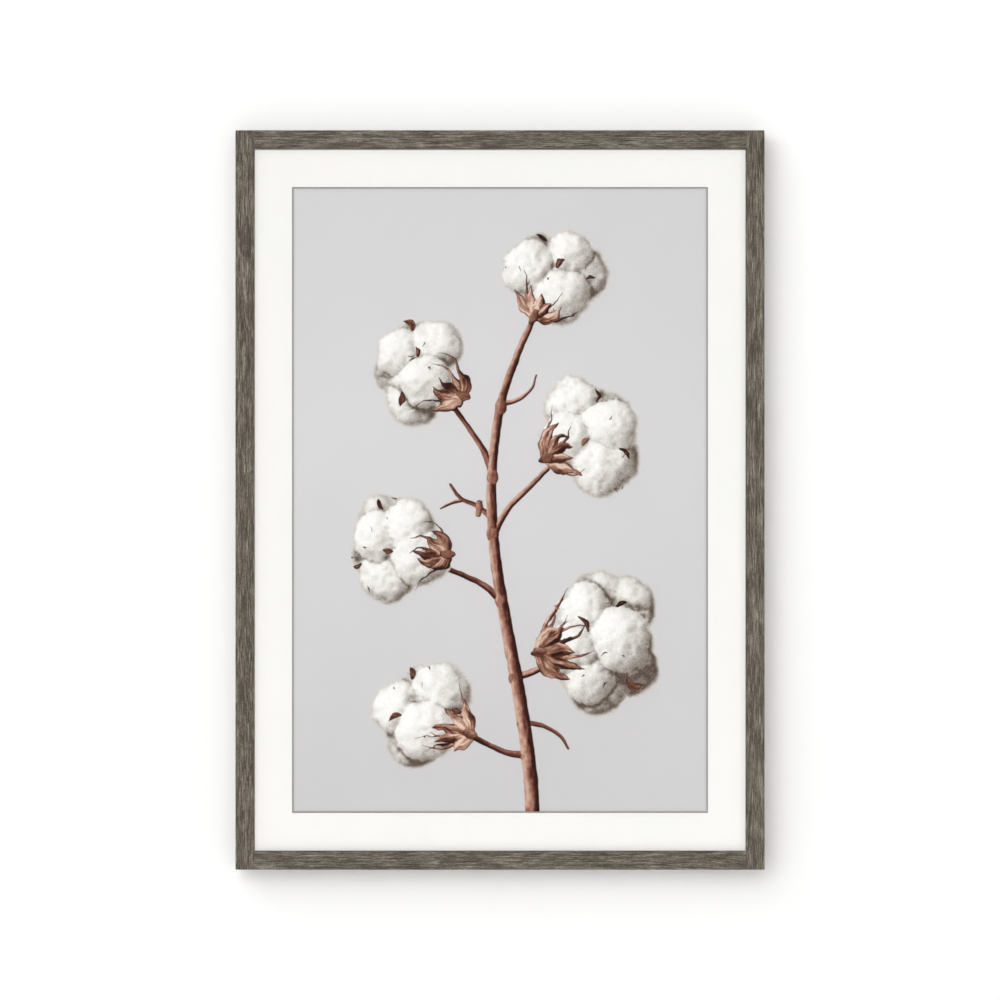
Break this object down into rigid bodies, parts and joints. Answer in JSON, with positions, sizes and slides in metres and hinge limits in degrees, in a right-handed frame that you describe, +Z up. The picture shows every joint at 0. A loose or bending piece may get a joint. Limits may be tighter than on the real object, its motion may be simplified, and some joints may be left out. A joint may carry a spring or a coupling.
{
  "type": "framed print",
  "caption": "Tall matted print behind glass in a flat weathered-wood frame, butt-jointed at the corners, with swinging wire rings on its back to hang it by.",
  "frame": {"origin": "middle of the frame, on the plane of the wall it hangs on, which the bumpers touch", "axes": "+Z up along the uprights, +X to the right as seen from the front, +Y into the wall, so the picture faces -Y"},
  "size_m": [0.508, 0.0305, 0.71],
  "materials": {
    "moulding_wood": "grey-brown weathered stain, fine open grain, matt",
    "dowel_wood": "plain beech",
    "fixing_steel": "dark oiled spring steel",
    "glazing": "clear picture glass, low reflection",
    "mat_board": "warm white, fine matt paper face",
    "print_paper": "matt art paper, pale grey ground",
    "linen_tape": "gummed linen tape",
    "hardboard": "brown pressed fibre board, smooth side out",
    "hanger_steel": "bright zinc plate",
    "bumper_rubber": "soft black rubber"
  },
  "bodies": {
    "frame": {"left_stile": "moulding_wood", "right_stile": "moulding_wood", "top_rail": "moulding_wood", "bottom_rail": "moulding_wood", "dowel_top_left": "dowel_wood", "dowel_top_right": "dowel_wood", "dowel_bottom_left": "dowel_wood", "dowel_bottom_right": "dowel_wood", "corner_nail_top_left": "fixing_steel", "corner_nail_top_right": "fixing_steel", "corner_nail_bottom_left": "fixing_steel", "corner_nail_bottom_right": "fixing_steel", "glazing": "glazing", "window_mat": "mat_board", "print_sheet": "print_paper", "hinge_tape_left": "linen_tape", "hinge_tape_right": "linen_tape", "mount_board": "mat_board", "backing_board": "hardboard", "tab_left_1": "fixing_steel", "tab_left_2": "fixing_steel", "tab_left_3": "fixing_steel", "tab_right_1": "fixing_steel", "tab_right_2": "fixing_steel", "tab_right_3": "fixing_steel", "tab_top_1": "fixing_steel", "tab_top_2": "fixing_steel", "tab_bottom_1": "fixing_steel", "tab_bottom_2": "fixing_steel", "hanger_strap_left": "hanger_steel", "hanger_strap_right": "hanger_steel", "hanger_screw_left": "hanger_steel", "hanger_screw_right": "hanger_steel", "bumper_left": "bumper_rubber", "bumper_right": "bumper_rubber"},
    "left_ring": {"hanger_ring_left": "hanger_steel"},
    "right_ring": {"hanger_ring_right": "hanger_steel"}
  },
  "joints": [
    {"name": "left_ring_swing", "type": "hinge", "parent": "frame", "child": "left_ring", "pos_m": [-0.247, -0.0029, 0.195], "axis": [1, 0, 0], "range_deg": [0, 180]},
    {"name": "right_ring_swing", "type": "hinge", "parent": "frame", "child": "right_ring", "pos_m": [0.247, -0.0029, 0.195], "axis": [1, 0, 0], "range_deg": [0, 180]}
  ]
}
